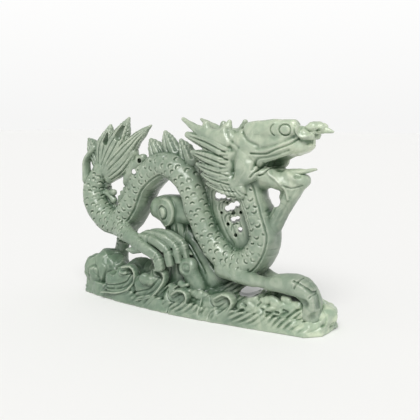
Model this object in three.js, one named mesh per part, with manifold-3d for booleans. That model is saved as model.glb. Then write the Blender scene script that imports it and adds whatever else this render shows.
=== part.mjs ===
// A carved jade dragon standing on a bed of waves. Millimetres, +Z up.
// The dragon faces +X, and its near side faces -Y. The origin is under the base, midway across it.
// The carving is one stone, divided here into its carved features with a fine seam between them.
import * as THREE from "three";
import { mergeVertices } from "three/addons/utils/BufferGeometryUtils.js";
import Module from "manifold-3d";

const wasm = await Module();
wasm.setup();

// Driving dimensions.
const SEAM = 0.3;
const MERGE_DISTANCE = 1e-4;
const BASE_HALF_LENGTH = 104;
const BASE_HALF_WIDTH = 24;
const BASE_HEIGHT = 10;
const BASE_TOP_INSET = 0.06;
const TRUNK_SIDES = 14;
const LIMB_SIDES = 9;
const THIN_SIDES = 7;
const STEPS_PER_STATION = 2;
const DOME_WIDTH = 0.55;
const DOME_REACH = 0.3;
const TRUNK_BOXINESS = 0.8;

// The lists below hold stations [x, y, z, half height, half width] along curved features: half height
// is measured in the XZ plane, square to the curve, and half width along Y. A hole is [x, z, radius].

// The trunk, from the root of the tail fan to the nape.
const TRUNK = [
  [-87, 0, 96, 6.5, 8],
  [-93, 0, 79, 8.5, 12.5],
  [-84.5, 0, 62.5, 9.5, 13.5],
  [-68, 0, 57, 9.5, 14],
  [-55, 0, 71, 9.7, 14],
  [-45, 0, 89, 9.7, 14],
  [-25, 0, 101.5, 9.7, 14],
  [-6, 0, 91, 9, 14],
  [3, 0, 71, 8.8, 14],
  [14, 0, 51, 9, 14],
  [29, 0, 39, 9.5, 14],
  [45, 0, 40.5, 9.5, 14],
  [53, 0, 56, 9, 13],
  [48.5, 0, 72, 8.8, 12.5],
  [40, 0, 94, 11, 13],
];
// Each trunk piece runs between two stations of that list.
const TRUNK_PIECES = [
  ["tail_stem", 0, 1.5],
  ["tail_bend", 1.5, 2.5],
  ["rump", 2.5, 3.6],
  ["hind_trunk", 3.6, 5],
  ["arch_crown", 5, 6.5],
  ["arch_fall", 6.5, 8],
  ["mid_trunk", 8, 9.6],
  ["chest_bend", 9.6, 11.2],
  ["neck_low", 11.2, 12.6],
  ["neck_high", 12.6, 14],
];

const TAIL_PLUMES = [
  [[-86, -1, 95, 5, 5], [-92, -1, 107, 6.5, 5], [-96, -1, 114, 4, 4], [-100, -1, 118.5, 1, 1.5]],
  [[-85, -1, 96, 6, 5.5], [-83.5, -1, 111, 8, 5.5], [-80, -1, 121, 4.8, 4], [-78, -1, 129, 0.8, 1.2]],
  [[-83, -1, 96, 6, 6], [-75, -1, 110, 8.5, 6], [-67, -1, 122, 6.5, 5], [-60, -1, 134, 0.8, 1.2]],
  [[-80, -1, 95, 6, 6], [-66, -1, 107, 8, 6], [-53, -1, 119, 4.5, 4], [-40, -1, 129, 0.8, 1.2]],
  [[-79, -1, 91, 5, 5], [-67, -1, 99, 6, 5.5], [-57, -1, 109, 4, 4]],
];
const TAIL_LOOP = [[-91, -5, 112, 2.4, 3], [-98, -6, 102, 1.8, 4], [-98, -6, 88, 3, 4]];
const TAIL_BRIDGE = [[-63, 0, 88, 5, 4.5], [-57, 0, 98, 6, 4.5], [-49, 0, 105.5, 4, 3.5]];
const TAIL_BRIDGE_HOLE = [-58, 97, 2.2];
const REAR_RIDGE = [[-84, -1, 78.5, 2.2, 3.2], [-79.5, -1, 77, 2.2, 3], [-76, -1, 73, 2.6, 3]];
const HIND_RIDGE = [[-71, 0, 73, 3, 2.5], [-67, 0, 79, 3.5, 2.5], [-64, 0, 84, 2, 2.5]];
const DORSAL_FINS = [
  [[-34, 0, 107, 7.5, 5.5], [-37.5, 0, 113.5, 5.4, 4.5], [-41, 0, 118.5, 1.8, 2]],
  [[-22, 0, 109, 8.5, 5.5], [-25, 0, 117, 6, 4.5], [-28, 0, 124, 1.8, 2]],
  [[-8, 0, 104, 8.5, 5.5], [-11, 0, 112, 6, 4.5], [-14.5, 0, 118.5, 1.8, 2]],
];

const SKULL = [
  [14, 0, 106, 7, 8], [30, 0, 111, 12, 13], [45, 0, 115, 15, 16], [60, 0, 119, 13.5, 15],
  [70, 0, 121.5, 11.2, 12.5], [76, 0, 121, 9.3, 9.5],
];
const SNOUT = [[75, 0, 119, 8, 9], [82, 0, 119.8, 6, 5.4]];
const NOSE_HORN = [[86, 0, 127.5, 3.6, 4], [92, 0, 127.2, 2.6, 2.8], [99, 0, 125.8, 0.8, 0.8]];
const LOWER_JAW = [[54, 0, 98, 6, 12], [67, 0, 95.5, 6.6, 10], [79, 0, 94.8, 4.4, 7.5]];
const TONGUE = [[62, 0, 99.5, 2.5, 5], [74, 0, 99.8, 2.4, 4.5], [88, 0, 102.4, 0.9, 1.5]];
const BEARD = [[75, 0, 93, 6, 7], [70, 0, 84.5, 6, 6.5], [64.5, 0, 75, 5.2, 6], [59, 0, 65, 6, 6]];
// Features of the near side of the head; the far side mirrors them.
const BROW = [[48, -9, 127, 5, 6.5], [62, -9.5, 127.8, 5.5, 6.5], [75, -8.5, 128.3, 5.2, 5.5]];
const EYE = [[71, -12.2, 127, 3.2, 2.8], [75, -11.8, 127, 3.2, 2.8]];
const CHEEK = [[37, -11, 114, 6, 5.5], [43, -12, 104, 9.5, 6], [38, -11, 92, 6, 5]];
const HORN = [
  [32, -11, 120, 7, 5.5], [18, -11, 121.5, 6, 5], [7, -11, 126.5, 3.4, 3.4], [-5, -11, 133.5, 1.1, 1.3],
];
const HORN_BRANCH = [[15, -11, 124, 4, 3.6], [13.5, -11, 130, 2.4, 2.4]];
const EAR = [[28, -11, 119, 5, 5], [29, -11, 125, 4.2, 4.2], [31, -10, 131.5, 1.8, 2]];
const MANE_LOCKS = [
  [[34, -11, 111, 6, 5.5], [17, -11, 118, 6, 5], [-1, -11, 123, 2, 2.4]],
  [[34, -11, 103, 6, 5.5], [18, -11.5, 108, 5.5, 5], [3, -11, 111.5, 1.4, 2]],
  [[34, -11, 97, 6, 5.5], [20, -11.5, 100, 5.5, 5], [7, -11, 103.5, 1.4, 2]],
  [[36, -11, 91, 6, 5.5], [24, -11.5, 93.5, 5, 4.8], [11, -11, 97, 1.4, 2]],
  [[40, -11, 87, 5.5, 5.5], [30, -11.5, 87.5, 4.5, 4.6], [15, -11, 91, 1.4, 2]],
];

const CLOUD_DRUM = [[-31, 1, 70, 8.5, 9], [-20, 1, 69.5, 11, 10.5], [-5, 1, 70, 10, 10]];
const CLOUD_PILLAR = [[-17, 1, 62, 10, 9], [-15.5, 1, 46, 12, 9], [-13, 1, 20, 15, 12]];
const CLOUD_SKIRT = [[-6, 2, 50, 8, 8], [4, 2, 38, 10, 9], [14, 2, 24, 12, 11]];
const WEB = [[26, 0, 86, 17, 5], [26.5, 0, 73, 16, 5], [31, 0, 61, 15, 5], [36, 0, 51, 10, 4.5]];
// Pierced holes of the web.
const WEB_HOLES = [[21, 82, 3], [28, 74, 3.5], [33, 65, 3], [37, 58, 2]];

const NEAR_HIND_LEG = [[-66, -9, 57, 8, 6], [-54, -14, 51.5, 5.8, 6], [-42, -17, 48, 4.9, 5]];
const HIND_TOES = [
  [
    [-41, -17, 47, 4.8, 4.6], [-30, -20, 43.5, 3.7, 3.8], [-21, -20.5, 38.5, 3.6, 3.5],
    [-19, -20, 32, 3.4, 3],
  ],
  [
    [-38, -15, 50, 3.4, 3.5], [-27, -17.5, 49.8, 2.9, 3.3], [-15, -18, 44, 2.9, 3.2],
    [-11.5, -18, 35, 2.6, 2.8],
  ],
  [
    [-35, -12, 52.5, 3, 3.3], [-22, -14.5, 52.5, 2.7, 3.2], [-9.5, -15, 46.5, 2.7, 3.2],
    [-6.5, -15, 37, 2.4, 2.6],
  ],
  [[-32, -9, 53.5, 2.8, 3], [-17, -11.5, 54, 2.5, 3], [-5.5, -12, 48.5, 2.4, 3], [-2.5, -12, 40, 2, 2.2]],
];
const HIND_PALM = [[-38, -12, 49, 5.5, 5], [-26, -13, 45.5, 6.5, 4], [-14, -12, 41, 6, 4]];
const HIND_SPUR = [[-38, -18, 42.5, 3, 3], [-44, -18, 41, 2.6, 2.6], [-51.5, -17, 40.3, 0.9, 1]];
const FAR_HIND_LEG = [[-70, 9, 52, 8, 6], [-77, 11, 41, 5.5, 5.5], [-81, 11, 22, 5.5, 6]];
const NEAR_FORE_ARM = [
  [26, -8, 34, 6.5, 7], [42, -12, 31, 5, 6], [56, -13, 29.5, 3.7, 5.5], [67, -13, 29.5, 3.9, 6.5],
];
const NEAR_FORE_PAW = [
  [65, -12, 29.5, 4.2, 7.5], [75, -12, 30.8, 6.2, 8.8], [86, -11.5, 29, 6.3, 9], [92, -10.5, 21, 5, 8.5],
  [92, -10, 13, 5, 8],
];
const FAR_FORE_ARM = [[30, 9, 34, 6.5, 6.5], [44, 11, 30, 5, 6], [57, 10.5, 25, 4.2, 5.5]];
const FAR_FORE_PAW = [
  [57, 10, 25, 4.4, 6.5], [65, 9.5, 23.5, 5, 7.5], [74, 8.5, 20, 5, 7.5], [80, 8, 14, 4.5, 7],
];

const LEFT_ROCK = [[-93, 2, 17.5, 13, 12], [-84, 2, 21, 13.5, 11], [-77, 3, 20, 11, 9]];
const MIDDLE_SWELL = [[-74, 0, 10, 8, 13], [-40, 0, 12, 10, 17], [2, 0, 12, 10, 18]];
const MIDDLE_ROCK = [[-63, 3, 16, 10, 8], [-52, 2, 19, 12, 10], [-41, 2, 17, 12, 11], [-28, 3, 14, 10, 12]];
const RIGHT_SWELL = [
  [9, 0, 10, 9, 18], [45, 0, 9.5, 9.5, 18.5], [66, -1, 13, 11, 17.5], [84, -1, 12.5, 10.5, 16.5],
];
const RIGHT_ROCK = [[14, 2, 15, 10, 11], [30, 2, 15, 9, 11]];
const RIGHT_LUMP = [[88, 1, 11, 9, 14], [95, 2, 10, 7.5, 12]];
const WAVE_ROLL = [[-3, -12, 32.5, 6.4, 5], [1.5, -12, 32.5, 6.8, 5]];
const WAVE_ROLL_STEM = [[5, -9, 17, 8, 6], [1.5, -11, 28, 6, 5]];
const FRONT_CRESTS = [
  [[-70, -9, 13, 8, 7], [-58, -9, 16, 10.5, 7], [-54, -9, 19, 9, 7]],
  [[-40, -12, 13, 9, 7], [-29, -12, 17, 9.5, 7], [-26, -12, 20, 9, 7]],
  [[-12, -14.5, 8, 8, 7], [-2, -14.5, 11, 6.5, 7]],
  [[20, -14.5, 8, 8, 7], [32, -14.5, 12, 7.5, 7]],
];
const BACK_CRESTS = [
  [[-58, 10, 13, 8, 7], [-46, 10, 18, 11, 7]],
  [[2, 12.5, 11, 8, 7], [11, 12.5, 16, 10, 7]],
];

// The same stations on the far side.
const mirrored = (stations) => stations.map(([x, y, z, high, wide]) => [x, -y, z, high, wide]);

function solidFrom(geometry) {
  const plain = geometry.clone();
  plain.deleteAttribute("normal");
  plain.deleteAttribute("uv");
  const merged = mergeVertices(plain, MERGE_DISTANCE);
  const vertProperties = merged.attributes.position.array;
  const triVerts = new Uint32Array(merged.index.array);
  return new wasm.Manifold(new wasm.Mesh({ numProp: 3, vertProperties, triVerts }));
}

function geometryFrom(solid) {
  const mesh = solid.getMesh();
  const geometry = new THREE.BufferGeometry();
  geometry.setAttribute("position", new THREE.BufferAttribute(mesh.vertProperties.slice(), 3));
  geometry.setIndex(new THREE.BufferAttribute(mesh.triVerts.slice(), 1));
  geometry.computeVertexNormals();
  return geometry;
}

// A closed sleeve bent along the stations. With domed ends it gets one smaller ring past each end.
function sleeve(stations, { sides, from = 0, to = stations.length - 1, domed, boxiness = 1, grow = 0 }) {
  const last = stations.length - 1;
  const centre = new THREE.CatmullRomCurve3(stations.map(([x, y, z]) => new THREE.Vector3(x, y, z)));
  const sizes = new THREE.CatmullRomCurve3(stations.map((s) => new THREE.Vector3(s[3], s[4], 0)));
  const steps = Math.max(2, Math.ceil((to - from) * STEPS_PER_STATION));
  const domeRings = domed ? 1 : 0;
  const rings = steps + 2 * domeRings;
  const geometry = new THREE.CylinderGeometry(1, 1, rings, sides, rings);
  const vertices = geometry.attributes.position;
  const inward = domed ? 0 : SEAM / 2 - grow;
  for (let i = 0; i < vertices.count; i += 1) {
    const ring = vertices.getY(i) + rings / 2 - domeRings;
    const step = THREE.MathUtils.clamp(ring, 0, steps);
    const past = ring - step;
    const t = (from + ((to - from) * step) / steps) / last;
    const place = centre.getPoint(t);
    const along = centre.getTangent(t);
    const side = new THREE.Vector3(0, 1, 0).addScaledVector(along, -along.y).normalize();
    const above = new THREE.Vector3().crossVectors(along, side);
    const size = sizes.getPoint(t);
    const narrowing = past ? DOME_WIDTH : 1;
    const high = (size.x + grow) * narrowing;
    const wide = (size.y + grow) * narrowing;
    const endShift = step === 0 ? inward : step === steps ? -inward : 0;
    const reach = past * (DOME_REACH * Math.min(size.x, size.y) + grow) + endShift;
    const squared = (value) => Math.sign(value) * Math.abs(value) ** boxiness;
    place.addScaledVector(along, reach);
    place.addScaledVector(above, squared(vertices.getX(i)) * high);
    place.addScaledVector(side, squared(vertices.getZ(i)) * wide);
    vertices.setXYZ(i, place.x, place.y, place.z);
  }
  return solidFrom(geometry);
}

// Each shape is a function of how far it is grown, so that a neighbour can be cut clear of it.
const limb = (stations, sides = LIMB_SIDES) => (grow) => sleeve(stations, { sides, domed: true, grow });

const joined = (...shapes) => (grow) =>
  shapes.map((shape) => shape(grow)).reduce((whole, piece) => whole.add(piece));

const trunkPiece = (from, to) => (grow) =>
  sleeve(TRUNK, { sides: TRUNK_SIDES, from, to, domed: false, boxiness: TRUNK_BOXINESS, grow });

// Holes [x, z, radius] drilled through a shape along Y.
const drilled = (shape, holes) => (grow) =>
  holes.reduce((left, [x, z, radius]) => {
    const drill = new THREE.CylinderGeometry(radius - grow, radius - grow, 2 * BASE_HALF_WIDTH, LIMB_SIDES);
    drill.translate(x, 0, z);
    return left.subtract(solidFrom(drill));
  }, shape(grow));

// The base is a long lens in plan, blunt at both ends and wider under the dragon's chest.
function baseSlab() {
  const nearEdge = [
    [-1, -0.2], [-0.85, -0.42], [-0.5, -0.74], [-0.08, -0.97], [0.17, -1], [0.88, -0.86], [0.965, -0.5],
  ];
  const farEdge = nearEdge.map(([x, y]) => [x, -y]).reverse();
  const edge = [...nearEdge, ...farEdge];
  const points = edge.map(([x, y]) => new THREE.Vector2(x * BASE_HALF_LENGTH, y * BASE_HALF_WIDTH));
  return (grow) => {
    const outline = new THREE.Shape(points);
    const slab = new THREE.ExtrudeGeometry(outline, { depth: BASE_HEIGHT + grow, bevelEnabled: false });
    const vertices = slab.attributes.position;
    for (let i = 0; i < vertices.count; i += 1) {
      const inset = vertices.getZ(i) > 0 ? 1 - BASE_TOP_INSET : 1;
      const x = vertices.getX(i) * inset;
      const y = vertices.getY(i) * inset;
      vertices.setXY(i, x + Math.sign(x) * grow, y + Math.sign(y) * grow);
    }
    return solidFrom(slab);
  };
}

const mane = (locks) => joined(...locks.map((lock) => limb(lock, THIN_SIDES)));
const browAndEye = (brow, eye) => joined(limb(brow), limb(eye, THIN_SIDES));
const horn = (stem, branch) => joined(limb(stem, THIN_SIDES), limb(branch, THIN_SIDES));
const toes = HIND_TOES.map((toe) => limb(toe, THIN_SIDES));

// Named features of each group of the carving. An earlier feature is whole, and each later one is
// cut clear of all those before it.
const FEATURES = {
  base: [["base_slab", baseSlab()]],
  trunk: TRUNK_PIECES.map(([name, from, to]) => [name, trunkPiece(from, to)]),
  head: [
    ["skull", limb(SKULL, TRUNK_SIDES)],
    ["snout", limb(SNOUT)],
    ["nose_horn", limb(NOSE_HORN, THIN_SIDES)],
    ["lower_jaw", limb(LOWER_JAW)],
    ["tongue", limb(TONGUE, THIN_SIDES)],
    ["beard", limb(BEARD)],
    ["brow_near", browAndEye(BROW, EYE)],
    ["brow_far", browAndEye(mirrored(BROW), mirrored(EYE))],
    ["cheek_near", limb(CHEEK)],
    ["cheek_far", limb(mirrored(CHEEK))],
    ["horn_near", horn(HORN, HORN_BRANCH)],
    ["horn_far", horn(mirrored(HORN), mirrored(HORN_BRANCH))],
    ["ear_near", limb(EAR, THIN_SIDES)],
    ["ear_far", limb(mirrored(EAR), THIN_SIDES)],
    ["mane_near", mane(MANE_LOCKS)],
    ["mane_far", mane(MANE_LOCKS.map(mirrored))],
  ],
  tail: [
    ...TAIL_PLUMES.map((plume, i) => [`tail_plume_${i + 1}`, limb(plume)]),
    ["tail_loop", limb(TAIL_LOOP, THIN_SIDES)],
    ["tail_bridge", drilled(limb(TAIL_BRIDGE), [TAIL_BRIDGE_HOLE])],
    ["rear_ridge", limb(REAR_RIDGE, THIN_SIDES)],
    ["hind_ridge", limb(HIND_RIDGE, THIN_SIDES)],
    ...DORSAL_FINS.map((fin, i) => [`dorsal_fin_${i + 1}`, limb(fin)]),
  ],
  legs: [
    ["near_hind_leg", limb(NEAR_HIND_LEG)],
    ["near_hind_paw", joined(...toes, limb(HIND_PALM, THIN_SIDES), limb(HIND_SPUR, THIN_SIDES))],
    ["far_hind_leg", limb(FAR_HIND_LEG)],
    ["near_fore_arm", limb(NEAR_FORE_ARM)],
    ["near_fore_paw", limb(NEAR_FORE_PAW)],
    ["far_fore_arm", limb(FAR_FORE_ARM)],
    ["far_fore_paw", limb(FAR_FORE_PAW)],
  ],
  clouds: [
    ["cloud_drum", limb(CLOUD_DRUM, TRUNK_SIDES)],
    ["cloud_pillar", joined(limb(CLOUD_PILLAR, TRUNK_SIDES), limb(CLOUD_SKIRT))],
    ["openwork_web", drilled(limb(WEB, TRUNK_SIDES), WEB_HOLES)],
  ],
  waves: [
    ...FRONT_CRESTS.map((crest, i) => [`front_crest_${i + 1}`, limb(crest)]),
    ...BACK_CRESTS.map((crest, i) => [`back_crest_${i + 1}`, limb(crest)]),
    ["wave_roll", joined(limb(WAVE_ROLL), limb(WAVE_ROLL_STEM))],
    ["right_swell", joined(limb(RIGHT_SWELL, TRUNK_SIDES), limb(RIGHT_ROCK))],
    ["middle_swell", joined(limb(MIDDLE_SWELL, TRUNK_SIDES), limb(MIDDLE_ROCK))],
    ["left_rock", limb(LEFT_ROCK, TRUNK_SIDES)],
    ["right_lump", limb(RIGHT_LUMP, TRUNK_SIDES)],
  ],
};
const POLISHED_ROUGHNESS = 0.4;
const COLOURS = {
  base: "#7f927f",
  trunk: "#a3ab92",
  head: "#b0b79c",
  tail: "#9aa68f",
  legs: "#9ba68e",
  clouds: "#8d9c86",
  waves: "#87987f",
};

const material = (colour) =>
  new THREE.MeshStandardMaterial({ color: colour, roughness: POLISHED_ROUGHNESS, metalness: 0 });

function touching(a, b) {
  return [0, 1, 2].every((axis) => a.min[axis] <= b.max[axis] && b.min[axis] <= a.max[axis]);
}

const largestBody = (solid) =>
  solid.decompose().reduce((best, body) => (body.volume() > best.volume() ? body : best));

const group = new THREE.Group();
const finished = [];
for (const [region, features] of Object.entries(FEATURES)) {
  const regionGroup = new THREE.Group();
  for (const [name, shape] of features) {
    let solid = shape(0);
    for (const earlier of finished) {
      if (earlier.region === "trunk" && region === "trunk") continue;
      const keepOut = earlier.grown;
      if (touching(solid.boundingBox(), keepOut.boundingBox())) solid = solid.subtract(keepOut);
    }
    const mesh = new THREE.Mesh(geometryFrom(largestBody(solid)), material(COLOURS[region]));
    mesh.name = name;
    regionGroup.add(mesh);
    finished.push({ region, grown: shape(SEAM) });
  }
  group.add(regionGroup);
}

export default group;
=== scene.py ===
import math

import bpy
import numpy as np
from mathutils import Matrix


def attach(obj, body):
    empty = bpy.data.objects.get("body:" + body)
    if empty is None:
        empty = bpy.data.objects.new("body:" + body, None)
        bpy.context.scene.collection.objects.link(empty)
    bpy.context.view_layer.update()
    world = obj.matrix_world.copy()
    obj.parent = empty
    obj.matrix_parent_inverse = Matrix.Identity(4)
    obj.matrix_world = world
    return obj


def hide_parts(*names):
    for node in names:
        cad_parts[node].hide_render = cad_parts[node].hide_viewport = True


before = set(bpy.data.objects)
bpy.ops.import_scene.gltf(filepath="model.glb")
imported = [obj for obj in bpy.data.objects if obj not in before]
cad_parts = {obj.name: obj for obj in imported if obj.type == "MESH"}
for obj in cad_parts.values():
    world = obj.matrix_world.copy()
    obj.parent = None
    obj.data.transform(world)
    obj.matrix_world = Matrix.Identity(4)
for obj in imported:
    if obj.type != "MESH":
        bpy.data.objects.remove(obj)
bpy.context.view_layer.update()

import openvdb
from mathutils import Vector

MM = 0.001
VOXEL = 0.5
# A limb's field is worked out this far past its surface, and reads FAR beyond that.
MARGIN = 4.0
FAR = 9.0
GRID_LOW = (-110.0, -30.0, -3.0)
GRID_HIGH = (110.0, 30.0, 140.0)
# A piece runs on under its neighbours by the overlap, and its skin sinks there by this slope.
OVERLAP = 1.2
SINK = 0.8
# Near the middle of a section, below this share of its size, a distance is read straight.
CORE = 0.2

# ---- the grid

AXES = [
    (low + VOXEL * np.arange(int((high - low) / VOXEL) + 1)).astype(np.float32)
    for low, high in zip(GRID_LOW, GRID_HIGH)
]
# The grid is symmetric in Y, so that a far side can be the near side turned over.
AXES[1] = AXES[1] - AXES[1].mean()
SHAPE = tuple(len(axis) for axis in AXES)


def block(low, high):
    """Slices of the grid between two corners, and the coordinates there, ready to broadcast."""
    slices = []
    for axis, near, far in zip(AXES, low, high):
        first = int(np.searchsorted(axis, near))
        last = int(np.searchsorted(axis, far))
        slices.append(slice(max(first, 0), max(last, first + 1)))
    x, y, z = (axis[part] for axis, part in zip(AXES, slices))
    return tuple(slices), x[:, None, None], y[None, :, None], z[None, None, :]


def smoothstep(low, high, value):
    t = np.clip((value - low) / (high - low), 0.0, 1.0)
    return t * t * (3.0 - 2.0 * t)


def bump(distance, width):
    """1 at no distance, falling smoothly to 0 at the width."""
    return 1.0 - smoothstep(0.0, width, np.abs(distance))


def smooth_min(a, b, blend):
    h = np.clip(0.5 + 0.5 * (b - a) / blend, 0.0, 1.0)
    return b + (a - b) * h - blend * h * (1.0 - h)


def wave_noise(x, y, z, scale, seed):
    """A smooth field from -1 to 1 made of a few crossed sine waves."""
    draw = np.random.default_rng(seed)
    total = 0.0
    for _ in range(5):
        direction = draw.normal(size=3)
        direction *= draw.uniform(0.7, 1.5) / (np.linalg.norm(direction) * scale)
        phase = draw.uniform(0.0, 2.0 * math.pi)
        turned = x * direction[0] + y * direction[1] + z * direction[2]
        total = total + np.sin(turned * 2.0 * math.pi + phase)
    return total / 3.0


# ---- curves

def spline(stations, step=2.5):
    """Catmull-Rom samples through the stations, about one step apart."""
    points = np.array(stations, float)
    padded = np.vstack([2 * points[0] - points[1], points, 2 * points[-1] - points[-2]])
    samples = []
    for i in range(len(points) - 1):
        p0, p1, p2, p3 = padded[i:i + 4]
        count = max(2, int(np.linalg.norm(p2[:3] - p1[:3]) / step))
        for t in np.arange(count) / count:
            samples.append(
                0.5 * (2 * p1 + (p2 - p0) * t + (2 * p0 - 5 * p1 + 4 * p2 - p3) * t ** 2
                       + (3 * p1 - p0 - 3 * p2 + p3) * t ** 3)
            )
    samples.append(points[-1])
    return np.array(samples)


def mirrored(stations):
    return [[x, -y, z, high, wide] for x, y, z, high, wide in stations]


def section_distance(up, off, past, high, wide, boxiness):
    """Distance to a limb's skin. A boxiness of 2 gives an ellipse, and more gives a squarer section."""
    cap = np.minimum(high, wide)
    k = (np.abs(up / high) ** boxiness + np.abs(off / wide) ** boxiness
         + np.abs(past / cap) ** boxiness) ** (1.0 / boxiness)
    radius = np.sqrt(up * up + off * off + past * past)
    return np.where(k > CORE, radius * (1.0 - 1.0 / np.maximum(k, CORE)), -cap * (1.0 - k))


class Local:
    """A limb's distance field on its block, with its own coordinates for relief: along (0 to 1),
    length (mm from the start), up and side (-1 to 1 across the section)."""

    def __init__(self, stations, boxiness=2.0):
        samples = spline(stations)
        reach = samples[:, 3:5].max() + MARGIN
        self.slices, self.x, self.y, self.z = block(
            samples[:, :3].min(0) - reach, samples[:, :3].max(0) + reach
        )
        shape = np.broadcast_shapes(self.x.shape, self.y.shape, self.z.shape)
        self.distance = np.full(shape, FAR, np.float32)
        self.length = np.zeros(shape, np.float32)
        self.up = np.zeros(shape, np.float32)
        self.side = np.zeros(shape, np.float32)
        lengths = np.linalg.norm(np.diff(samples[:, :3], axis=0), axis=1)
        starts = np.concatenate([[0.0], np.cumsum(lengths)])
        self.total = starts[-1]
        for i in range(len(samples) - 1):
            self._segment(samples[i], samples[i + 1], starts[i], lengths[i], boxiness)
        self.along = self.length / self.total

    def _segment(self, a, b, start, length, boxiness):
        reach = max(a[3:5].max(), b[3:5].max()) + MARGIN
        low = np.minimum(a[:3], b[:3]) - reach
        high = np.maximum(a[:3], b[:3]) + reach
        part = block(low, high)[0]
        inner = tuple(
            slice(max(p.start - s.start, 0), max(min(p.stop, s.stop) - s.start, 0))
            for p, s in zip(part, self.slices)
        )
        dx = self.x[inner[0]] - a[0]
        dy = self.y[:, inner[1]] - a[1]
        dz = self.z[:, :, inner[2]] - a[2]
        tangent = (b[:3] - a[:3]) / length
        side = np.array([0.0, 1.0, 0.0]) - tangent * tangent[1]
        side /= np.linalg.norm(side)
        above = np.cross(tangent, side)
        run = dx * tangent[0] + dy * tangent[1] + dz * tangent[2]
        t = np.clip(run / length, 0.0, 1.0)
        past = run - t * length
        up = dx * above[0] + dy * above[1] + dz * above[2]
        off = dx * side[0] + dy * side[1] + dz * side[2]
        height = a[3] + (b[3] - a[3]) * t
        width = a[4] + (b[4] - a[4]) * t
        distance = section_distance(up, off, past, height, width, boxiness)
        nearer = distance < self.distance[inner]
        for target, value in (
            (self.distance, distance), (self.length, start + t * length),
            (self.up, up / height), (self.side, off / width),
        ):
            target[inner][nearer] = np.broadcast_to(value, nearer.shape)[nearer]


# ---- the stone

class Stone:
    """The blended skin of every feature, and each feature's own field for dividing it again."""

    def __init__(self):
        self.skin = np.full(SHAPE, FAR, np.float32)
        self.parts = {}

    def add(self, node, slices, distance, blend=1.2, own=None):
        """Blends a field into the skin. The node keeps it as its own, unless another is given."""
        kept = distance if own is None else own
        self.skin[slices] = smooth_min(self.skin[slices], distance.astype(np.float32), blend)
        self.parts.setdefault(node, []).append((slices, kept.astype(np.float32)))

    def limb(self, node, stations, blend=1.2, relief=None, boxiness=2.0):
        local = Local(stations, boxiness)
        distance = local.distance
        if relief is not None:
            distance = distance + relief(local)
        self.add(node, local.slices, distance, blend)

    def carve(self, slices, depth, soft=0.6):
        """Takes away a shape given by its own distance field."""
        self.skin[slices] = -smooth_min(-self.skin[slices], depth.astype(np.float32), soft)

    def hollow(self, stations, soft=0.6):
        local = Local(stations)
        self.carve(local.slices, local.distance, soft)

    def press(self, slices, depth):
        """Sinks the skin by a depth in millimetres; a negative depth raises it."""
        self.skin[slices] += depth

    def field(self, node):
        """The node's own field on the one block that holds all its limbs."""
        parts = self.parts[node]
        slices = tuple(
            slice(min(s[i].start for s, _ in parts), max(s[i].stop for s, _ in parts)) for i in range(3)
        )
        whole = np.full([s.stop - s.start for s in slices], FAR, np.float32)
        for part, distance in parts:
            inner = tuple(slice(p.start - s.start, p.stop - s.start) for p, s in zip(part, slices))
            whole[inner] = np.minimum(whole[inner], distance)
        return slices, whole


def stroke_distance(points, x, z):
    """Distance in the XZ plane to a curve through points, as a 2D array."""
    line = spline([[px, 0.0, pz] for px, pz in points], step=1.5)
    nearest = np.full(np.broadcast_shapes(x.shape, z.shape), 4.0 * FAR, np.float32)
    for a, b in zip(line[:-1], line[1:]):
        ex, ez = b[0] - a[0], b[2] - a[2]
        t = np.clip(((x - a[0]) * ex + (z - a[2]) * ez) / max(ex * ex + ez * ez, 1e-9), 0.0, 1.0)
        nearest = np.minimum(nearest, np.hypot(x - a[0] - t * ex, z - a[2] - t * ez))
    return nearest


def engrave(stone, points, width, depth, near=-30.0, far=0.0):
    """A line cut into both side faces, square to them."""
    xs, zs = [p[0] for p in points], [p[1] for p in points]
    for low, high in ((near, far), (-far, -near)):
        slices, x, _, z = block(
            (min(xs) - width - 1, low, min(zs) - width - 1), (max(xs) + width + 1, high, max(zs) + width + 1)
        )
        stone.press(slices, depth * bump(stroke_distance(points, x, z), width))


# ---- the trunk

TRUNK = [
    [-87, 0, 96, 6.5, 8], [-93, 0, 79, 8.5, 12.5], [-84.5, 0, 62.5, 9.5, 13.5], [-68, 0, 57, 9.5, 14],
    [-55, 0, 71, 9.7, 14], [-45, 0, 89, 9.7, 14], [-25, 0, 101.5, 9.7, 14], [-6, 0, 91, 9, 14],
    [3, 0, 71, 8.8, 14], [14, 0, 51, 9, 14], [29, 0, 39, 9.5, 14], [45, 0, 40.5, 9.5, 14],
    [53, 0, 56, 9, 13], [48.5, 0, 72, 8.8, 12.5], [40, 0, 94, 11, 13],
]
TRUNK_PIECES = [
    ("tail_stem", 0, 1.5), ("tail_bend", 1.5, 2.5), ("rump", 2.5, 3.6), ("hind_trunk", 3.6, 5),
    ("arch_crown", 5, 6.5), ("arch_fall", 6.5, 8), ("mid_trunk", 8, 9.6), ("chest_bend", 9.6, 11.2),
    ("neck_low", 11.2, 12.6), ("neck_high", 12.6, 14),
]
TRUNK_BOXINESS = 2.5
SCALE_PITCH = 10.0
SCALE_ROWS = 7
SCALE_RADIUS = 2.8
# Angles about the trunk run from 0 on the spine to 1 under the belly.
SCALY_SPAN = 0.7
BELLY_START = (0.66, 0.72)
BELLY_EDGE = -0.68
BELLY_LINE_WIDTH = 0.075
BELLY_LINE_DEPTH = 1.2
SCUTE_PITCH = 21.0
SCUTE_LINES = (2.0, 5.2)
SCUTE_START = (0.78, 0.86)
SCUTE_DEPTH = 0.45
NAPE_START = 12.3
NAPE_EDGE = (0.46, 0.4)
NAPE_STRANDS = 15.0
NAPE_DEPTH = 1.5
RIDGE_HEIGHT = 2.4
RIDGE_HALF_WIDTH = 1.7
RIDGE_PITCH = 6.5
TRUNK_REACH = 16.0 + MARGIN
STATION_GAP = 12.0
RUN_ON = 4.0


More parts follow.
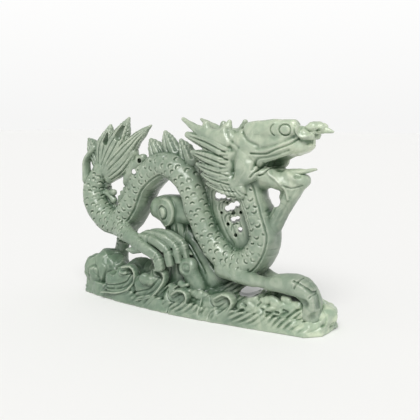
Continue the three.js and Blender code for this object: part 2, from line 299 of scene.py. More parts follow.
def hashed(a, b, seed):
    """A repeatable number from 0 to 1 for each pair of whole numbers."""
    value = np.sin(a * 127.1 + b * 311.7 + seed * 74.7) * 43758.5453
    return value - np.floor(value)


def scales(length, around, spread):
    """Crescent nicks in staggered rows. around runs 0 to 1 from the spine to the belly edge, and
    spread is the distance in millimetres that it covers."""
    depth = 0.0
    row_height = spread / SCALE_ROWS * 2.0
    for shift in (0, 1):
        row = np.floor(around * SCALE_ROWS / 2.0 + 0.5 * shift)
        across = (around * SCALE_ROWS / 2.0 + 0.5 * shift - row - 0.5) * row_height
        start = length / SCALE_PITCH + 0.5 * shift
        column = np.floor(start)
        ahead = (start - column - 0.5) * SCALE_PITCH
        ahead = ahead + 2.6 * (hashed(row, column, 1 + shift) - 0.5)
        across = across + 1.8 * (hashed(row, column, 4 + shift) - 0.5)
        radius = np.hypot(ahead, across)
        tailward = smoothstep(0.35, 0.8, -ahead / np.maximum(radius, 0.1))
        nick = bump(radius - SCALE_RADIUS, 0.8) * tailward
        lip = bump(radius - SCALE_RADIUS + 1.3, 1.6) * tailward
        strength = 0.45 + 0.85 * hashed(row, column, 8 + shift)
        depth = depth + strength * (1.45 * nick - 0.35 * lip)
    return depth


def trunk_frame():
    """For each (x, z) of the grid: length along the trunk, place in the station list, distance above
    the centre line, distance past an end, and the half height and half width there."""
    samples = spline(TRUNK, step=1.2)
    stations = np.array(TRUNK, float)
    place = [np.argmin(np.linalg.norm(samples[:, :3] - s[:3], axis=1)) for s in stations]
    index = np.interp(np.arange(len(samples)), place, np.arange(len(stations)))
    x, z = AXES[0][:, None], AXES[2][None, :]
    best = np.full((SHAPE[0], SHAPE[2]), 1e9, np.float32)
    out = {key: np.zeros_like(best) for key in ("length", "index", "above", "past", "high", "wide")}
    start = 0.0
    for i in range(len(samples) - 1):
        a, b = samples[i], samples[i + 1]
        ex, ez = b[0] - a[0], b[2] - a[2]
        size = math.hypot(ex, ez)
        ex, ez = ex / size, ez / size
        run = (x - a[0]) * ex + (z - a[2]) * ez
        t = np.clip(run / size, 0.0, 1.0)
        past = run - t * size
        above = -(x - a[0]) * ez + (z - a[2]) * ex
        gap = past * past + above * above
        nearer = gap < best
        best[nearer] = gap[nearer]
        values = {
            "length": start + t * size, "index": index[i] + (index[i + 1] - index[i]) * t,
            "above": above, "past": past,
            "high": a[3] + (b[3] - a[3]) * t, "wide": a[4] + (b[4] - a[4]) * t,
        }
        for key, value in values.items():
            out[key][nearer] = value[nearer]
        start += size
    return out


def trunk_block(flat, first, last):
    """The slices that hold a stretch of the trunk, and the flat fields there, ready to broadcast."""
    inside = (flat["index"] > first - 0.5) & (flat["index"] < last + 0.5)
    inside &= np.abs(flat["above"]) < TRUNK_REACH
    inside &= np.abs(flat["past"]) < TRUNK_REACH
    rows, columns = np.where(inside)
    xs = slice(rows.min(), rows.max() + 1)
    zs = slice(columns.min(), columns.max() + 1)
    here = {key: value[xs, None, zs] for key, value in flat.items()}
    wide = float(here["wide"].max()) + MARGIN
    near = int(np.searchsorted(AXES[1], -wide))
    return (xs, slice(near, SHAPE[1] - near), zs), here


def trunk_relief(here, y, distance):
    """Scales on the sides, strands on the nape, a line at the belly's edge and plates under it."""
    above, high, half = here["above"], here["high"], here["wide"]
    angle = np.arctan2(np.abs(y) / half, above / high) / math.pi
    scaly = 1.0 - smoothstep(*BELLY_START, angle)
    relief = scales(here["length"], angle / SCALY_SPAN, 1.25 * (high + half)) * scaly
    nape = smoothstep(NAPE_START, NAPE_START + 0.5, here["index"]) * smoothstep(*NAPE_EDGE, angle)
    strands = NAPE_DEPTH * bump((angle * NAPE_STRANDS) % 1.0 - 0.5, 0.2)
    relief = relief * (1.0 - nape) + strands * nape
    on_side = smoothstep(0.55, 0.8, np.abs(y) / half)
    relief = relief + BELLY_LINE_DEPTH * bump(above / high - BELLY_EDGE, BELLY_LINE_WIDTH) * on_side
    pair = here["length"] % SCUTE_PITCH
    scute = sum(bump(pair - line, 0.7) for line in SCUTE_LINES)
    relief = relief + SCUTE_DEPTH * scute * smoothstep(*SCUTE_START, angle)
    return relief * smoothstep(-3.0, -0.5, distance)


def trunk_ridge(here, y):
    """The low toothed ridge along the spine."""
    above, high = here["above"], here["high"]
    tooth = np.abs((here["length"] / RIDGE_PITCH) % 1.0 - 0.35)
    crest = high + RIDGE_HEIGHT * (1.1 - 1.5 * tooth)
    ridge = np.maximum(np.abs(y) - RIDGE_HALF_WIDTH + 0.25 * (above - high), above - crest)
    ridge = np.maximum(ridge, 0.5 * high - above)
    return np.maximum(ridge, np.abs(here["past"]) - 0.5)


def add_trunk(stone):
    flat = trunk_frame()
    for node, first, last in TRUNK_PIECES:
        slices, here = trunk_block(flat, first, last)
        y = AXES[1][None, slices[1], None]
        distance = section_distance(
            here["above"], y, here["past"], here["high"], here["wide"], TRUNK_BOXINESS
        )
        distance = distance + trunk_relief(here, y, distance)
        whole = smooth_min(distance, trunk_ridge(here, y), 1.0)
        before = (first - here["index"]) * STATION_GAP
        after = (here["index"] - last) * STATION_GAP
        ends = np.maximum(before, after)
        if first == 0:
            ends = after
        if last == len(TRUNK) - 1:
            ends = before
        stone.add(node, slices, np.maximum(whole, ends - RUN_ON), 0.8, own=np.maximum(whole, ends))


# ---- relief on limbs

def fluted(count, depth, fade=0.12):
    """Carved grooves along a limb, spread across its height."""
    def relief(local):
        share = (np.clip(local.up, -1, 1) * 0.5 + 0.5) * count
        groove = bump(share % 1.0 - 0.5, 0.24)
        ends = smoothstep(0.0, fade, local.along) * smoothstep(1.0, 1.0 - 2.0 * fade, local.along)
        return depth * (groove - 0.2) * ends * smoothstep(0.15, 0.5, np.abs(local.side))
    return relief


def knuckled(count, depth):
    """Creases across a limb."""
    def relief(local):
        return depth * bump((local.along * count) % 1.0 - 0.5, 0.14)
    return relief


def scaled(until):
    """The trunk's scales, run on over the first part of a leg."""
    def relief(local):
        around = np.abs(np.arctan2(local.side, local.up)) / math.pi
        return scales(local.length, around, 20.0) * smoothstep(until, until - 0.2, local.along)
    return relief


def serrated(count, depth):
    """Notches along a limb's upper edge."""
    def relief(local):
        tooth = np.abs((local.along * count) % 1.0 - 0.5) * 2.0
        return depth * tooth * smoothstep(0.0, 0.7, local.up)
    return relief


# ---- tail and fins

TAIL_PLUMES = [
    [[-86, -1, 95, 5, 5], [-92, -1, 107, 6.5, 5], [-96, -1, 114, 4, 4], [-100, -1, 118.5, 1, 1.5]],
    [[-85, -1, 96, 6, 5.5], [-83.5, -1, 111, 8, 5.5], [-80, -1, 121, 4.8, 4], [-78, -1, 129, 0.8, 1.2]],
    [[-83, -1, 96, 6, 6], [-75, -1, 110, 8.5, 6], [-67, -1, 122, 6.5, 5], [-60, -1, 134, 0.8, 1.2]],
    [[-80, -1, 95, 6, 6], [-66, -1, 107, 8, 6], [-53, -1, 119, 4.5, 4], [-40, -1, 129, 0.8, 1.2]],
    [[-79, -1, 91, 5, 5], [-67, -1, 99, 6, 5.5], [-57, -1, 109, 4, 4]],
]
PLUME_HOLLOWS = [
    [[-79.5, -4.5, 117, 2.6, 3.6], [-78.5, -4.5, 122, 1.6, 2.8]],
    [[-67, -5.5, 121, 3.0, 3.6], [-64, -4, 127, 1.8, 2.8]],
]
TAIL_LOOP = [[-91, -5, 112, 2.4, 3], [-98, -6, 102, 1.8, 4], [-98, -6, 88, 3, 4]]
TAIL_BRIDGE = [[-63, 0, 88, 5, 4.5], [-57, 0, 98, 6, 4.5], [-49, 0, 105.5, 4, 3.5]]
REAR_RIDGE = [[-84, -1, 78.5, 2.2, 3.2], [-79.5, -1, 77, 2.2, 3], [-76, -1, 73, 2.6, 3]]
REAR_BUMPS = [(-76, -2, 79, 2.4)]
HIND_RIDGE = [[-71, 0, 73, 3, 2.5], [-67, 0, 79, 3.5, 2.5], [-64, 0, 84, 2, 2.5]]
DORSAL_FINS = [
    [[-34, 0, 107, 7.5, 5.5], [-37.5, 0, 113.5, 5.4, 4.5], [-41, 0, 118.5, 1.8, 2]],
    [[-22, 0, 109, 8.5, 5.5], [-25, 0, 117, 6, 4.5], [-28, 0, 124, 1.8, 2]],
    [[-8, 0, 104, 8.5, 5.5], [-11, 0, 112, 6, 4.5], [-14.5, 0, 118.5, 1.8, 2]],
]
BRIDGE_HOLES = [(-57.3, 95.5, 2.2, 20.0), (-52, 103.5, 1.8, 1.0)]
BRIDGE_SLANT = 0.82
DRILL_DEPTH = 20.0
DRILL_MARGIN = 3


def drill(stone, x, z, radius, slant, far=DRILL_DEPTH):
    """A hole bored from the near side, drifting in X by the slant as it goes deeper."""
    reach = radius + DRILL_MARGIN + slant * DRILL_DEPTH
    low = (x - reach, -DRILL_DEPTH, z - radius - DRILL_MARGIN)
    high = (x + reach, far + 2.0, z + radius + DRILL_MARGIN)
    slices, gx, gy, gz = block(low, high)
    hole = np.hypot(gx - x + slant * gy, gz - z) - radius
    hole = np.maximum(hole, gy - far)
    stone.carve(slices, hole, 0.8)


def ball(stone, node, x, y, z, radius, blend=0.8):
    """A rounded lump, a little longer than it is high."""
    ends = [[x + shift * radius, y, z, radius, radius] for shift in (-0.4, 0.4)]
    stone.limb(node, ends, blend)


def add_tail(stone):
    for i, plume in enumerate(TAIL_PLUMES):
        stone.limb(f"tail_plume_{i + 1}", plume, blend=0.9, relief=fluted(4, 1.3), boxiness=2.3)
    for stations in PLUME_HOLLOWS:
        stone.hollow(stations)
    stone.limb("tail_loop", TAIL_LOOP)
    stone.limb("tail_bridge", TAIL_BRIDGE, relief=serrated(4, 1.2))
    stone.limb("rear_ridge", REAR_RIDGE, blend=1.5)
    for x, y, z, radius in REAR_BUMPS:
        ball(stone, "rear_ridge", x, y, z, radius)
    stone.limb("hind_ridge", HIND_RIDGE, relief=serrated(3, 1.8))
    for i, fin in enumerate(DORSAL_FINS):
        stone.limb(f"dorsal_fin_{i + 1}", fin, relief=fluted(3, 1.1, 0.05))
    for x, z, radius, far in BRIDGE_HOLES:
        drill(stone, x, z, radius, BRIDGE_SLANT, far=far)


# ---- the head

SKULL = [[14, 0, 106, 7, 8], [30, 0, 111, 12, 13], [45, 0, 115, 15, 16], [60, 0, 119, 13.5, 15],
         [70, 0, 121.5, 11.2, 12.5], [76, 0, 121, 9.3, 9.5]]
SNOUT = [[75, 0, 119, 8, 9], [82, 0, 119.8, 6, 5.4]]
SNOUT_LUMPS = [
    (86, -4.5, 128.3, 3.8), (90.5, -2.5, 128.6, 2.8), (81.5, -7, 124, 3.6), (84.5, -4.5, 122.6, 2.8),
    (77.5, -6, 116.5, 3.6),
]
NOSE_HORN = [[86, 0, 127.5, 3.6, 4], [92, 0, 127.2, 2.6, 2.8], [99, 0, 125.8, 0.8, 0.8]]
NOSE_NOTCH = [[84.5, -12, 132.8, 3.6, 3.6], [79, 0, 133, 4.2, 4.2], [75, 12, 133.2, 6, 6]]
NOSE_LINES = [[(83, 128.5), (86.5, 126.2), (91.5, 127.3)], [(79.5, 129), (79, 125), (81.5, 120.5), (85, 120)]]
NOSTRIL_CURL = [(80, 128.5), (80.5, 124), (84, 122.2), (87.5, 123.5)]
NOSTRIL_DIMPLE = [(84.5, 118.8), (86.5, 119.4)]
LOWER_JAW = [[54, 0, 98, 6, 12], [67, 0, 95.5, 6.6, 10], [79, 0, 94.8, 4.4, 7.5]]
MOUTH_ROOT = [[50, 6, 107, 7, 8], [60.5, 6, 107, 6.5, 5.5]]
MOUTH_OPENING = [[80, 0, 107, 5, 14], [86, 0, 107.8, 5.8, 14], [99, 0, 110, 7.5, 14]]
MOUTH_POCKET = [[57.5, -4, 104.8, 1.8, 9], [64, -4, 105.4, 3.8, 9], [75, -4, 107, 5, 9]]
JAW_DIMPLE = [[77.5, 6.8, 98.2, 1.5, 2.3], [79.5, 6.2, 98.4, 1.4, 2.1]]
TONGUE = [[62, 0, 99.5, 2.5, 5], [74, 0, 99.8, 2.4, 4.5], [88, 0, 102.4, 0.9, 1.5]]
BEARD = [[75, 0, 93, 6, 7], [70, 0, 84.5, 6, 6.5], [64.5, 0, 75, 5.2, 6], [59, 0, 65, 6, 6]]
THROAT = [[50, 0, 94, 7, 10], [60, 0, 94, 5, 9], [70, 0, 91, 5, 7]]
THROAT_HOLES = [(57.3, 86.3, 3.3), (58.6, 83.6, 4.1), (60, 80.8, 3.7)]
THROAT_SLANT = 0.5
BROW = [[48, -9, 127, 5, 6.5], [62, -9.5, 127.8, 5.5, 6.5], [75, -8.5, 128.3, 5.2, 5.5]]
EYE_CENTRE = (73.0, 127.0)
EYE_RADIUS = 3.7
EYE_CORNER = (68.5, 127.0)
CHEEK = [[37, -11, 114, 6, 5.5], [43, -12, 104, 9.5, 6], [38, -11, 92, 6, 5]]
JAW_MUSCLE = [[45, -13, 103, 6, 4.6], [48, -12.5, 98, 6, 4.6]]
HORN = [[32, -11, 120, 7, 5.5], [18, -11, 121.5, 6, 5], [7, -11, 126.5, 3.4, 3.4], [-5, -11, 133.5, 1.1, 1.3]]
HORN_BRANCH = [[15, -11, 124, 4, 3.6], [13.5, -11, 130, 2.4, 2.4]]
EAR = [[28, -11, 119, 5, 5], [29, -11, 125, 4.2, 4.2], [31, -10, 131.5, 1.8, 2]]
EAR_TUFTS_END = 42
TUFTS = [(39, -9, 127.5, 3.4), (46.5, -7, 128.5, 3.0), (51.5, -6, 129.3, 3.0)]
CROWN_LINE = [(16, 115), (30, 124), (45, 131.5), (60, 134), (77, 133.5)]
CROWN_FURROWS = [(-5.8, 1.9), (-2.0, 2.4), (2.0, 2.4), (5.8, 1.9)]
MANE_LOCKS = [
    [[34, -11, 111, 6, 5.5], [17, -11, 118, 6, 5], [-1, -11, 123, 2, 2.4]],
    [[34, -11, 103, 6, 5.5], [18, -11.5, 108, 5.5, 5], [3, -11, 111.5, 1.4, 2]],
    [[34, -11, 97, 6, 5.5], [20, -11.5, 100, 5.5, 5], [7, -11, 103.5, 1.4, 2]],
    [[36, -11, 91, 6, 5.5], [24, -11.5, 93.5, 5, 4.8], [11, -11, 97, 1.4, 2]],
    [[40, -11, 87, 5.5, 5.5], [30, -11.5, 87.5, 4.5, 4.6], [15, -11, 91, 1.4, 2]],
]
LIP_LINES = [
    ([(50, 112), (60, 112), (67, 115), (75, 118), (80, 121.5)], 1.1, 1.4),
    ([(54, 115), (63, 116.5), (70, 119), (78, 123)], 2.0, 1.0),
    ([(51, 102), (52, 106), (55, 109), (61, 110), (68, 112), (74, 114.5)], 1.4, 1.0),
]
JAW_FOLD = [(59, 102), (61, 99), (65, 96), (69, 92), (71, 88), (72, 83)]
JAW_CREASE = [(69, 92), (75, 90.5), (81, 92.5)]
JAW_SIDE = [(65, 101), (70, 97), (76, 94)]
MOUTH_CREASES = [[(50, 97), (57, 106)], [(54, 98), (57, 99), (60, 103)]]
TEMPLE_LINES = [[(31, 127), (34, 120.5), (41, 115.5)], [(43, 125), (48, 120), (55, 117)]]
CHEEK_DISH = [(35, 114), (38.5, 112.5), (37.5, 106), (36, 98)]
FRILL_TOP, FRILL_BOTTOM = 114.0, 92.5
FRILL_COUNT = 8
FRILL_BACK, FRILL_FRONT = 27.5, 33
LOW_FRILL_COUNT = 5
LOW_FRILL_START = 28.0
LOW_FRILL_PITCH = 3.4
SIDES = {"near": lambda stations: stations, "far": mirrored}


def both_sides(stone, node, x, y, z, radius, blend=0.8):
    for turn in (1, -1):
        ball(stone, node, x, turn * y, z, radius, blend)


def add_head(stone):
    stone.limb("skull", SKULL, blend=2.0, boxiness=2.7)
    stone.limb("skull", MOUTH_ROOT, blend=1.0)
    stone.limb("snout", SNOUT, blend=2.5, boxiness=2.4)
    for x, y, z, radius in SNOUT_LUMPS:
        both_sides(stone, "snout", x, y, z, radius, 1.2)
    stone.limb("nose_horn", NOSE_HORN, blend=1.2)
    stone.limb("lower_jaw", LOWER_JAW, blend=1.5, boxiness=2.4)
    stone.limb("beard", BEARD, blend=2.0, relief=fluted(2, 0.5))
    stone.limb("beard", THROAT, blend=2.5)
    for side, turn in SIDES.items():
        stone.limb(f"brow_{side}", turn(BROW), blend=1.8, boxiness=2.9)
        stone.limb(f"cheek_{side}", turn(CHEEK), blend=1.2)
        stone.limb(f"cheek_{side}", turn(JAW_MUSCLE), blend=2.0)
        stone.limb(f"horn_{side}", turn(HORN), blend=1.0, relief=fluted(1, 0.4))
        stone.limb(f"horn_{side}", turn(HORN_BRANCH), blend=1.5)
        stone.limb(f"ear_{side}", turn(EAR), blend=1.0)
        for lock in MANE_LOCKS:
            stone.limb(f"mane_{side}", turn(lock), blend=0.6, relief=fluted(3, 1.4), boxiness=2.4)
        for x, y, z, radius in TUFTS:
            node = f"ear_{side}" if x < EAR_TUFTS_END else f"brow_{side}"
            ball(stone, node, x, y if side == "near" else -y, z, radius, 1.2)
    for y, radius in CROWN_FURROWS:
        stone.hollow([[x, y, z, radius, 1.5] for x, z in CROWN_LINE], soft=1.0)
    carve_mouth(stone)
    stone.limb("tongue", TONGUE, blend=0.6)
    carve_face(stone)


def carve_mouth(stone):
    """The mouth opens right through in front, and is a deep pocket in the near side further back."""
    stone.hollow(MOUTH_OPENING, soft=0.8)
    stone.hollow(MOUTH_POCKET)
    for stations in (mirrored(JAW_DIMPLE), JAW_DIMPLE):
        stone.hollow(stations)
    for x, z, radius in THROAT_HOLES:
        drill(stone, x, z, radius, THROAT_SLANT)


def arc(centre, radius, first, last, squash=1.0, count=9):
    """Points on part of a circle in the XZ plane, with its angles in degrees."""
    return [
        (centre[0] + radius * math.cos(a), centre[1] + squash * radius * math.sin(a))
        for a in np.radians(np.linspace(first, last, count))
    ]


def carve_face(stone):
    for line, width, depth in LIP_LINES:
        engrave(stone, line, width, depth, far=-5.0)
    for line in MOUTH_CREASES:
        engrave(stone, line, 0.9, 1.8, far=-5.0)
    for line in TEMPLE_LINES:
        engrave(stone, line, 2.0, 1.0, far=-6.0)
    for line in NOSE_LINES:
        engrave(stone, line, 1.3, 1.0, far=-2.0)
    stone.hollow(NOSE_NOTCH, soft=1.2)
    engrave(stone, NOSTRIL_CURL, 1.7, -1.1, far=-3.0)
    engrave(stone, NOSTRIL_DIMPLE, 2.6, 1.8, far=-1.0)
    engrave(stone, JAW_FOLD, 1.5, -1.0, far=-2.0)
    engrave(stone, JAW_SIDE, 3.6, 1.5, far=-2.0)
    engrave(stone, arc(EYE_CENTRE, EYE_RADIUS, 0, 360, 0.9, 14), 0.75, 1.3, far=-5.0)
    engrave(stone, arc(EYE_CORNER, 4.6, 125, 235, 0.9), 0.75, 1.1, far=-5.0)
    engrave(stone, CHEEK_DISH, 4.2, 2.2, far=-9.0)
    engrave(stone, JAW_CREASE, 1.1, 0.9, far=-2.0)
    step = (FRILL_BOTTOM - FRILL_TOP) / FRILL_COUNT
    for i in range(FRILL_COUNT):
        z = FRILL_TOP + step * (i + 0.5)
        engrave(stone, [(FRILL_BACK, z), (FRILL_FRONT, z + 0.3)], 1.2, 0.8, far=-6.0)
    for i in range(LOW_FRILL_COUNT):
        x = LOW_FRILL_START + LOW_FRILL_PITCH * i
        engrave(stone, [(x, 91 - 0.8 * i), (x + 4.0, 84.5)], 1.1, 0.8, far=-6.0)


# ---- legs, clouds and waves

NEAR_HIND_LEG = [[-66, -9, 57, 8, 6], [-54, -14, 51.5, 5.8, 6], [-42, -17, 48, 4.9, 5.0]]
HIND_TOES = [
    [[-41, -17, 47, 4.8, 4.6], [-30, -20, 43.5, 3.7, 3.8],
     [-21, -20.5, 38.5, 3.6, 3.5], [-19, -20, 32, 3.4, 3]],
    [[-38, -15, 50, 3.4, 3.5], [-27, -17.5, 49.8, 2.9, 3.3],
     [-15, -18, 44, 2.9, 3.2], [-11.5, -18, 35, 2.6, 2.8]],
    [[-35, -12, 52.5, 3, 3.3], [-22, -14.5, 52.5, 2.7, 3.2],
     [-9.5, -15, 46.5, 2.7, 3.2], [-6.5, -15, 37, 2.4, 2.6]],
    [[-32, -9, 53.5, 2.8, 3], [-17, -11.5, 54, 2.5, 3], [-5.5, -12, 48.5, 2.4, 3], [-2.5, -12, 40, 2, 2.2]],
]
HIND_PALM = [[-38, -12, 49, 5.5, 5], [-26, -13, 45.5, 6.5, 4], [-14, -12, 41, 6, 4]]
HIND_SPUR = [[-38, -18, 42.5, 3, 3], [-44, -18, 41, 2.6, 2.6], [-51.5, -17, 40.3, 0.9, 1]]
FAR_HIND_LEG = [[-70, 9, 52, 8, 6], [-77, 11, 41, 5.5, 5.5], [-81, 11, 22, 5.5, 6]]
NEAR_FORE_ARM = [[26, -8, 34, 6.5, 7], [42, -12, 31, 5, 6], [56, -13, 29.5, 3.7, 5.5],
                 [67, -13, 29.5, 3.9, 6.5]]
NEAR_FORE_PAW = [[65, -12, 29.5, 4.2, 7.5], [75, -12, 30.8, 6.2, 8.8], [86, -11.5, 29, 6.3, 9],
                 [92, -10.5, 21, 5, 8.5], [92, -10, 13, 5, 8]]
FAR_FORE_ARM = [[30, 9, 34, 6.5, 6.5], [44, 11, 30, 5, 6], [57, 10.5, 25, 4.2, 5.5]]
FAR_FORE_PAW = [[57, 10, 25, 4.4, 6.5], [65, 9.5, 23.5, 5, 7.5], [74, 8.5, 20, 5, 7.5], [80, 8, 14, 4.5, 7]]
PAW_LINES = [[(84, 30), (87.5, 38)], [(83, 34.5), (90, 31.5), (95.5, 26), (97, 18)], [(93.5, 25), (98, 31)]]
CLOUD_DRUM = [[-31, 1, 70, 8.5, 9], [-20, 1, 69.5, 11, 10.5], [-5, 1, 70, 10, 10]]
DISC_CENTRE = (-23.0, 68.5)
DISC_REACH = 13
DISC_RADIUS = 10.2
DISC_RISE = 3.2
BUTTON_RADIUS = 3.8
BUTTON_RISE = 1.0
BUTTON_GROOVE = 1.2
CLOUD_PILLAR = [[-17, 1, 62, 10, 9], [-15.5, 1, 46, 12, 9], [-13, 1, 20, 15, 12]]
CLOUD_SKIRT = [[-6, 2, 50, 8, 8], [4, 2, 38, 10, 9], [14, 2, 24, 12, 11]]
CLOUD_FLAP = [[-13, -7, 47, 3.5, 4], [-7, -9, 45.5, 2.6, 3], [0, -9, 41, 0.9, 1.2]]
WEB = [[26, 0, 86, 17, 5], [26.5, 0, 73, 16, 5], [31, 0, 61, 15, 5], [36, 0, 51, 10, 4.5]]
WEB_HOLES = [
    (16.5, 82, 2.6), (20.5, 82.3, 2.4), (24.5, 81, 1.8), (23.5, 74, 2.4), (27, 75.5, 2.8), (31, 77.5, 2.2),
    (28.5, 66.5, 2.2), (31.8, 67.6, 1.9), (33.5, 60.6, 2.0),
]
WEB_SLANT = 0.62
WEB_DOTS = [
    (19, 71, 1.1), (28.5, 71.5, 1.0), (24, 63.5, 1.1), (30, 56.5, 1.1), (34, 72, 1.0), (23.5, 78, 1.0),
]


def add_legs(stone):
    stone.limb("near_hind_leg", NEAR_HIND_LEG, blend=3.0, relief=scaled(0.75))
    for toe in HIND_TOES:
        stone.limb("near_hind_paw", toe, blend=0.25, relief=knuckled(2, 0.7), boxiness=3.6)
    stone.limb("near_hind_paw", HIND_PALM, blend=0.8)
    stone.limb("near_hind_paw", HIND_SPUR, blend=1.0)
    stone.limb("far_hind_leg", FAR_HIND_LEG, blend=3.0, relief=scaled(0.6))
    stone.limb("near_fore_arm", NEAR_FORE_ARM, blend=3.0)
    stone.limb("near_fore_paw", NEAR_FORE_PAW, blend=1.5, boxiness=2.6)
    stone.limb("far_fore_arm", FAR_FORE_ARM, blend=2.5)
    stone.limb("far_fore_paw", FAR_FORE_PAW, blend=2.0, boxiness=2.4)
    for line in PAW_LINES:
        engrave(stone, line, 0.75, 1.1, far=-10.0)


def add_clouds(stone):
    stone.limb("cloud_drum", CLOUD_DRUM, blend=0.8, boxiness=2.6)
    stone.limb("cloud_pillar", CLOUD_PILLAR, blend=0.8, relief=fluted(4, 1.8))
    stone.limb("cloud_pillar", CLOUD_SKIRT, blend=2.5, relief=fluted(3, 1.0))
    stone.limb("cloud_pillar", CLOUD_FLAP, blend=0.8)
    stone.limb("openwork_web", WEB, blend=3.0, relief=fluted(5, 1.0))
    for x, z, radius in WEB_HOLES:
        engrave(stone, arc((x, z), radius + 2.0, 20, 200), 0.8, 1.2)
        drill(stone, x, z, radius, WEB_SLANT)
    for x, z, radius in WEB_DOTS:
        drill(stone, x, z, radius, WEB_SLANT, far=-1.0)
    scroll_disc(stone)


def scroll_disc(stone):
    """The rolled end of the cloud, standing proud of the drum on each side, with a button at its middle."""
    x0, z0 = DISC_CENTRE
    slices, x, y, z = block(
        (x0 - DISC_REACH, -16, z0 - DISC_REACH), (x0 + DISC_REACH, 17, z0 + DISC_REACH)
    )
    radius = np.hypot(x - x0, (z - z0) * 0.95)
    rightward = smoothstep(-8.0, 2.0, x - x0)
    rise = DISC_RISE * smoothstep(DISC_RADIUS, DISC_RADIUS - 0.8, radius) * rightward
    rise = rise + BUTTON_RISE * smoothstep(BUTTON_RADIUS, BUTTON_RADIUS - 0.8, radius)
    rise = rise - BUTTON_GROOVE * bump(radius - BUTTON_RADIUS - 0.6, 1.0)
    stone.press(slices, -rise * smoothstep(5.0, 7.0, np.abs(y - 1.0)))


BASE_HALF_LENGTH, BASE_HALF_WIDTH, BASE_HEIGHT = 104.0, 24.0, 10.0
BASE_EDGE = [(-1, 0.2), (-0.85, 0.42), (-0.5, 0.74), (-0.08, 0.97), (0.17, 1), (0.88, 0.86), (0.965, 0.5)]
BASE_RIGHT_END = 100.3
BASE_LEAN = 0.12
LEFT_ROCK = [[-93, 2, 17.5, 13, 12], [-84, 2, 21, 13.5, 11], [-77, 3, 20, 11, 9]]
ROCK_POCKET = [[-74, -12, 23, 3.6, 6], [-68, -11, 22, 3.6, 6]]
ROCK_SWIRL = [(-96, 14), (-95, 20), (-90, 23), (-86, 20), (-87, 14)]
ARM_SLOT = [[58, -28, 24.4, 3.2, 8], [27, 28, 14.4, 3.2, 8]]
MIDDLE_SWELL = [[-74, 0, 10, 8, 13], [-40, 0, 12, 10, 17], [2, 0, 12, 10, 18]]
MIDDLE_ROCK = [[-63, 3, 16, 10, 8], [-52, 2, 19, 12, 10], [-41, 2, 17, 12, 11], [-28, 3, 14, 10, 12]]
RIGHT_SWELL = [[9, 0, 10, 9, 18], [45, 0, 9.5, 9.5, 18.5], [66, -1, 13, 11, 17.5], [84, -1, 12.5, 10.5, 16.5]]
RIGHT_ROCK = [[14, 2, 15, 10, 11], [30, 2, 15, 9, 11]]
RIGHT_LUMP = [[88, 1, 11, 9, 14], [95, 2, 10, 7.5, 12]]
RIGHT_SCOOPS = [[[99, -17, 12, 7, 5], [101, -18, 4, 6, 5]], [[84, -20, 21, 3.2, 4], [90, -20, 21, 3.4, 4]],
                [[86, -21.5, 9, 4, 4], [92, -21, 8, 4.5, 4]]]
WAVE_ROLL = [[-3, -12, 32.5, 6.4, 5], [1.5, -12, 32.5, 6.8, 5]]
WAVE_ROLL_STEM = [[5, -9, 17, 8, 6], [1.5, -11, 28, 6, 5]]
ROLL_DISC = [[-0.7, -17.5, 32.5, 4.4, 3], [0.9, -17.5, 32.5, 4.4, 3]]
ROLL_BUTTON = (-0.4, -14, 32.5, 2.4)
FRONT_WAVES = [
    {"rim": [(-78, 5), (-63, 6.5), (-51, 11), (-45.5, 18), (-45, 24), (-49, 28), (-56, 26.5)], "face": -16.5,
     "bowl": [[-70, 13, 8], [-58, 16, 10.5], [-54, 19, 9]], "lump": (-57, 22, 4.2)},
    {"rim": [(-42, 4.5), (-28, 9), (-20, 16.5), (-16, 24), (-18, 28.5), (-24, 29)], "face": -19.5,
     "bowl": [[-40, 13, 9], [-29, 17, 9.5], [-26, 20, 9]], "lump": (-32, 20, 5.4)},
    {"rim": [(-6, 2), (2, 8), (4.5, 13), (2.5, 17), (-3, 17.5), (-8, 14)], "face": -22.0,
     "bowl": [[-12, 8, 8], [-2, 11, 6.5]], "lump": None},
    {"rim": [(28, 2), (37, 9), (40.5, 15), (38, 19), (33, 19.5), (27, 16)], "face": -22.0,
     "bowl": [[20, 8, 8], [32, 12, 7.5]], "lump": None},
]
BACK_WAVES = [
    {"rim": [(-66, 5), (-50, 8), (-40, 14), (-34, 21), (-35, 28), (-41, 30)], "face": 17.5,
     "bowl": [[-58, 13, 8], [-46, 18, 11]], "lump": (-48, 22, 4.5)},
    {"rim": [(-2, 3), (12, 7), (20, 14), (23, 21), (19, 27), (13, 26)], "face": 20.0,
     "bowl": [[2, 11, 8], [11, 16, 10]], "lump": (9, 19, 4.5)},
]
FOAM_BANDS = [
    ((-12, -16, 18), (14, -16, 17), 12), ((44, -16, 14), (84, -14, 19), 30),
    ((30, 15, 14), (80, 14, 17), 20), ((-30, 13, 17), (-4, 15, 16), 9),
]
FOAM_HALF_LENGTH = 1.6
FOAM_HALF_WIDTH = 2.4
FOAM_SCATTER = 4.0
SWELLS_MEET = 8
# How deep a wave's bowl, rim and lump lie behind its face, and the lines of flow cut in the bowl.
BOWL_DEPTH, BOWL_HALF_WIDTH = 7.5, 7.0
RIM_DEPTH = 2.5
LUMP_DEPTH = 3.0
FLOW_PITCH = 3.4
FLOW_CUT = 0.95
DISH_CUT = 1.6
FOAM_POCKETS = [
    (47, -19.5, 14), (58, -19.5, 16), (65, -19.5, 11.5), (71, -19.5, 12.5), (77, -19, 14), (60, 18, 14),
    (70, 18, 16), (-6, -19, 17),
]


def wave_strokes(x, y, z, seed):
    """Diagonal hand-cut wave grooves, as a depth in millimetres."""
    bend = 2.2 * wave_noise(x, y, z, 34.0, seed)
    phase = (0.82 * x - 0.9 * z + bend) / 4.4
    stroke = 0.5 + 0.5 * np.cos(2.0 * math.pi * phase)
    patch = smoothstep(-0.6, 0.2, wave_noise(x, y, z, 22.0, seed + 1))
    return 1.5 * stroke ** 2 * patch


